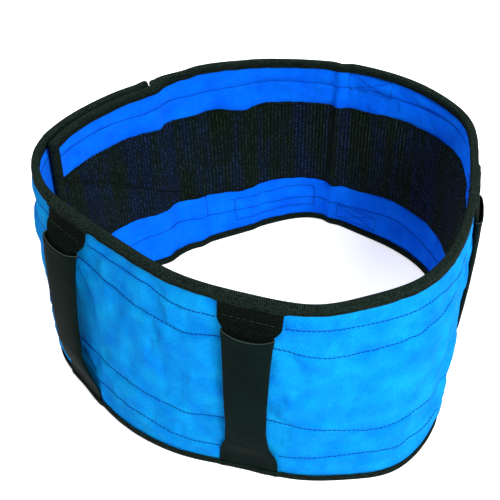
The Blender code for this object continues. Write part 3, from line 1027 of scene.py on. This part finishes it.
class Sewing:
    """Collects stitches by body and colour, then makes one object of each."""

    def __init__(self):
        self.bags = {}

    def add(self, colour, path, depth, pitch=PITCH, radius=THREAD, outward=1, zone=None):
        """Stitches along a path of (s, z) points, lying on the surface depth(s, z)."""
        path, step = measured(path)
        count = max(1, int(step[-1] / pitch))
        middles = (np.arange(count) + 0.5) * step[-1] / count
        s, z, (ds, dz) = along_path(path, step, middles)
        turn = 0.06 * np.sin(middles * 1.7) + 0.05
        ds, dz = ds * np.cos(turn) - dz * np.sin(turn), ds * np.sin(turn) + dz * np.cos(turn)
        run, girth = STITCH_RUN * min(STITCH, pitch * 0.87), STITCH_GIRTH * radius
        a = math.tau * np.arange(SIDES) / SIDES
        side = girth[:, None] * np.cos(a)
        rise = girth[:, None] * np.sin(a) + STITCH_RISE[:, None] * radius
        ss = s[:, None, None] + run[:, None] * ds[:, None, None] - side * dz[:, None, None]
        zz = z[:, None, None] + run[:, None] * dz[:, None, None] + side * ds[:, None, None]
        dd = depth(ss, zz) + outward * rise
        by_place = np.where(s < HINGE[0], "belt", np.where(s < HINGE[1], "hinge", "flap"))
        zones = by_place if zone is None else np.full(count, zone)
        for where in set(zones.tolist()):
            pick = zones == where
            self.bags.setdefault((where, colour), []).append((ss[pick], zz[pick], dd[pick]))

    def make(self):
        looks = {"navy": NAVY_THREAD, "black": BLACK_THREAD, "grey": GREY_THREAD}
        for (where, colour), bag in sorted(self.bags.items()):
            s, z, d = (np.concatenate([b[k] for b in bag]) for k in range(3))
            count = len(s)
            around, rings = np.arange(SIDES), len(STITCH_RUN)
            after = (around + 1) % SIDES
            quads = np.concatenate([SIDES * i + np.stack([around, after, SIDES + after, SIDES + around], -1)
                                    for i in range(rings - 1)])
            caps = np.array([around[::-1], SIDES * (rings - 1) + around])
            base = SIDES * rings * np.arange(count)[:, None, None]
            faces = (quads + base).reshape(-1, 4).tolist() + (caps + base).reshape(-1, SIDES).tolist()
            obj = make_object("%s_thread_%s" % (colour, where), LOOP.place(s, z, d), faces,
                              np.stack([s, z, d], -1), looks[colour], turn=True)
            attach(obj, where)


SEWING = Sewing()


def off(surface, lift):
    """Depth of threads that lie a little off a surface."""
    return lambda s, z: surface(s, z) + lift


def row_path(row, first, last, lift=0.0):
    s = cut(first, last, 4.0)
    return np.stack([s, ROWS[row] + lift + wander(row, s) + 0.25 * CRUMPLE[2](s, ROWS[row])], -1)


def clear_runs(first, last, z, reach=24.5):
    """Stretches of a row between the handles' sewn ends."""
    gaps = sorted((float(middle(p, z)) - reach, float(middle(p, z)) + reach) for p in HANDLES.values())
    runs, start = [], first
    for a, b in gaps:
        runs.append((start, a))
        start = b
    return runs + [(start, last)]


def box(s0, s1, z0, z1):
    """Corners of a box, back to the first."""
    return [(s0, z0), (s1, z0), (s1, z1), (s0, z1), (s0, z0)]


def box_cross(*sides):
    """The four sides and two diagonals of a box."""
    corners = box(*sides)
    return [corners[k:k + 2] for k in range(4)] + [[corners[0], corners[2]], [corners[1], corners[3]]]


def zigzag(points, width, pitch):
    """Zigzag path along a line of points."""
    path, step = measured(points)
    at = np.arange(0, step[-1], pitch)
    s, z, (ds, dz) = along_path(path, step, at)
    side = np.where(np.arange(len(at)) % 2, 0.5, -0.5) * width
    return np.stack([s - side * dz, z + side * ds], -1)


def sew_rows():
    first, last = 9.0, TIP - 9.0
    for row, z in enumerate(ROWS):
        on_cloth = row in (0, 3)
        for a, b in clear_runs(4.0, last, z) if on_cloth else [(first, last)]:
            SEWING.add("navy", row_path(row, a, b), off(face, 0.2))
        if on_cloth:
            SEWING.add("navy", row_path(row, first, last), off(back, -0.2), outward=-1)
        else:
            edge = 1.6 if row == 1 else -1.6
            SEWING.add("black", row_path(row, first, ROOT - 1.0, edge), off(back, -1.1), outward=-1)


def sew_tapes():
    def over_ends(s, z):
        return sway(s, z) + 0.2 + over_handles(s, z) * WEB_UNDER_TAPE

    for side, depth in ((1, over_ends), (-1, off(sway, -6.0))):
        for z in (5.7, HEIGHT - 5.7):
            SEWING.add("black", [(s, z) for s in cut(0.0, TIP, 4.0)], depth, radius=0.26, outward=side)
    for s, side in ((5.2, -1), (TIP - 5.2, 1), (5.2, 1), (TIP - 5.2, -1)):
        depth = off(sway, 0.3 if side > 0 else -6.1)
        SEWING.add("black", [(s, z) for z in cut(9, HEIGHT - 9, 5)], depth, radius=0.26, outward=side)


def sew_handles():
    for side, place in HANDLES.items():
        zone = "flap" if side == "left" else "belt"
        on_web = off(web_depth(place), 0.8)
        c = float(middle(place, 170))
        SEWING.add("grey", [(c - 19, 169.5), (c + 20, 170.0)], on_web, pitch=4.4, radius=0.2, zone=zone)
        foot = [(s, 23.5 + 0.012 * (s - place.foot) ** 2) for s in cut(place.foot - 20, place.foot + 20, 2)]
        SEWING.add("black", foot, on_web, pitch=3.4, radius=0.28, zone=zone)
        for z0, z1 in ((162.5, 179.0), (11.5, 26.5)):
            c = float(middle(place, (z0 + z1) / 2))
            for path in box_cross(c - 21.5, c + 21.5, z0, z1):
                SEWING.add("navy", path, off(back, -0.12), radius=0.24, outward=-1, zone=zone)


def sew_overlap():
    slant = [(s, pile_top(s) + 0.5) for s in cut(9, 171, 4)]
    SEWING.add("black", slant, off(back, -1.7), radius=0.6, outward=-1)
    SEWING.add("navy", [(171, z) for z in cut(30, 52, 4)], off(back, -0.12), outward=-1)
    SEWING.add("black", [(s, z - 2) for s, z in slant[1:]], off(face, 1.6), radius=0.28)
    outline = zigzag(box(201, 286, 18, 41), 2.0, 1.7)
    SEWING.add("navy", outline, off(back, -0.1), pitch=2.4, radius=0.28, outward=-1)
    SEWING.add("grey", box(205, 282, 21, 38), off(face, 0.8), pitch=3.0, radius=0.25)


sew_rows()
sew_tapes()
sew_handles()
sew_overlap()
SEWING.make()

# ---- camera, light, floor
EYE = Vector((-0.006, -0.779, 0.7056))
AIM = Vector((-0.006, 0.124, 0.0))
LENS = 84.4
SENSOR = 36.0
LAMP_AIM = Vector((0, 0, 0.08))
# Name, place, diameter in metres, watts
LAMPS = (
    ("key", (0.82, -1.44, 1.35), 0.9, 68.0),
    ("fill", (-0.9, 1.0, 1.4), 1.4, 34.0),
    ("far_fill", (1.1, 1.0, 1.3), 1.2, 18.0),
    ("top", (0.1, -0.2, 2.0), 1.5, 10.0),
)
WORLD_LIGHT = 0.16
FLOOR_SIZE = 40.0
FLOOR_DROP = 0.0004
FLOOR_GREY = 0.86
FLOOR_GLOW = 0.62


def build_stage():
    data = bpy.data.cameras.new("camera")
    data.lens = LENS
    data.sensor_width = SENSOR
    camera = new_object("camera", data)
    camera.location = EYE
    camera.rotation_euler = (AIM - EYE).to_track_quat("-Z", "Y").to_euler()
    bpy.context.scene.camera = camera

    bm = bmesh.new()
    bmesh.ops.create_grid(bm, x_segments=2, y_segments=2, size=FLOOR_SIZE)
    mesh = bpy.data.meshes.new("floor")
    bm.to_mesh(mesh)
    bm.free()
    floor = new_object("floor", mesh)
    floor.location.z = -FLOOR_DROP
    mat = bpy.data.materials.new("pale_floor")
    mat.use_nodes = True
    looks = {"Base Color": (FLOOR_GREY, FLOOR_GREY, FLOOR_GREY, 1), "Roughness": 0.9,
             "Emission Color": (1, 1, 1, 1), "Emission Strength": FLOOR_GLOW}
    for key, value in looks.items():
        mat.node_tree.nodes["Principled BSDF"].inputs[key].default_value = value
    mesh.materials.append(mat)

    for name, place, size, power in LAMPS:
        lamp = bpy.data.lights.new(name, "AREA")
        lamp.shape = "DISK"
        lamp.size = size
        lamp.energy = power
        obj = new_object(name, lamp)
        obj.location = place
        obj.rotation_euler = (LAMP_AIM - obj.location).to_track_quat("-Z", "Y").to_euler()

    world = bpy.data.worlds.new("studio")
    world.use_nodes = True
    background = world.node_tree.nodes["Background"]
    background.inputs["Color"].default_value = (1, 1, 1, 1)
    background.inputs["Strength"].default_value = WORLD_LIGHT
    bpy.context.scene.world = world
    bpy.context.scene.view_settings.view_transform = "Standard"


build_stage()
